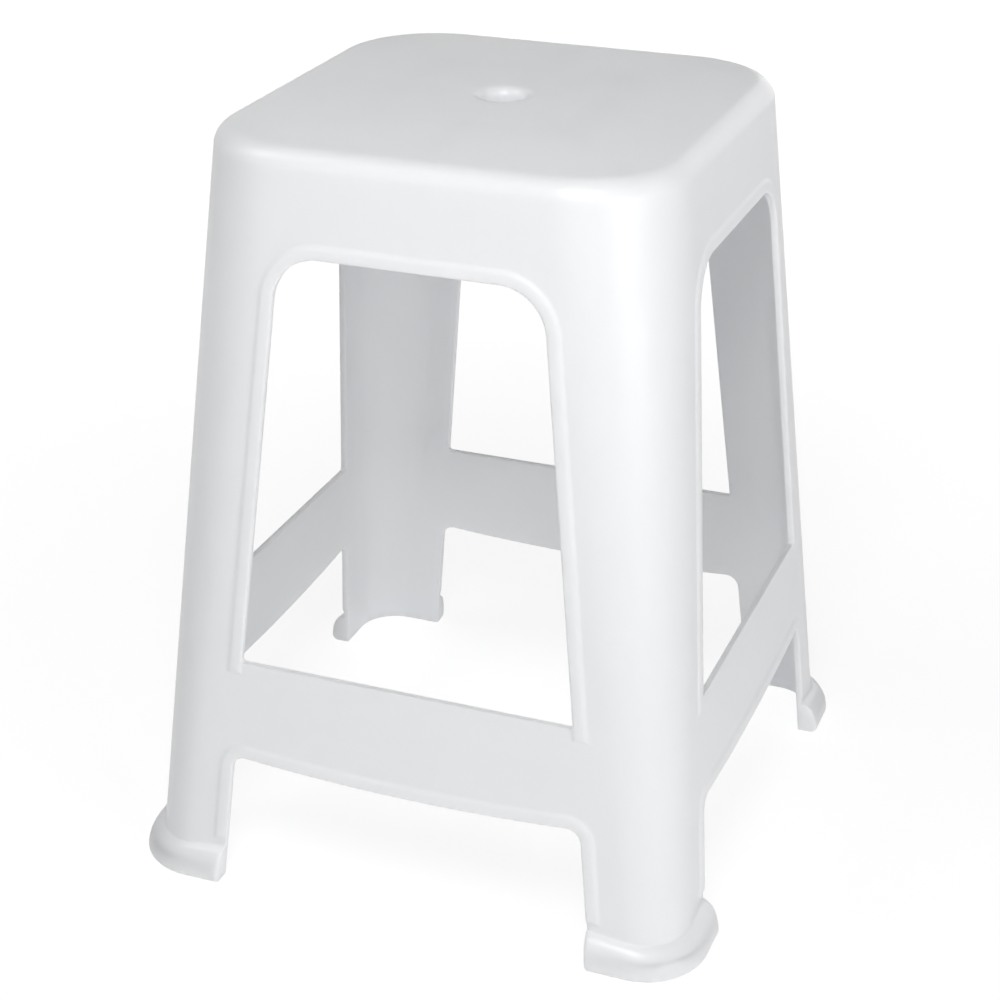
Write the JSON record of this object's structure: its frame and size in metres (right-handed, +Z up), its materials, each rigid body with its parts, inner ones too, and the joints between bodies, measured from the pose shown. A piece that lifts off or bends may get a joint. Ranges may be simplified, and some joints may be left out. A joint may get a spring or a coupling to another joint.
{
  "type": "stacking stool",
  "caption": "Square one-piece plastic stacking stool with splayed corner legs, rimmed open sides, low side stretchers, flared toes and a finger hole in the seat.",
  "frame": {"origin": "on the floor under the middle of the seat", "axes": "+Z up; the front stretcher faces -Y, the right one +X"},
  "size_m": [0.3674, 0.3674, 0.46],
  "materials": {
    "shell_plastic": "satin white polypropylene"
  },
  "bodies": {
    "root": {"seat_panel": "shell_plastic", "finger_hole_collar": "shell_plastic", "under_seat_ribs": "shell_plastic", "skirt_front": "shell_plastic", "skirt_right": "shell_plastic", "skirt_rear": "shell_plastic", "skirt_left": "shell_plastic", "stretcher_front": "shell_plastic", "stretcher_right": "shell_plastic", "stretcher_rear": "shell_plastic", "stretcher_left": "shell_plastic", "leg_front_right": "shell_plastic", "leg_rear_right": "shell_plastic", "leg_rear_left": "shell_plastic", "leg_front_left": "shell_plastic", "toe_front_right": "shell_plastic", "toe_rear_right": "shell_plastic", "toe_rear_left": "shell_plastic", "toe_front_left": "shell_plastic", "stacking_gusset_front_right": "shell_plastic", "stacking_gusset_rear_right": "shell_plastic", "stacking_gusset_rear_left": "shell_plastic", "stacking_gusset_front_left": "shell_plastic"}
  },
  "joints": []
}
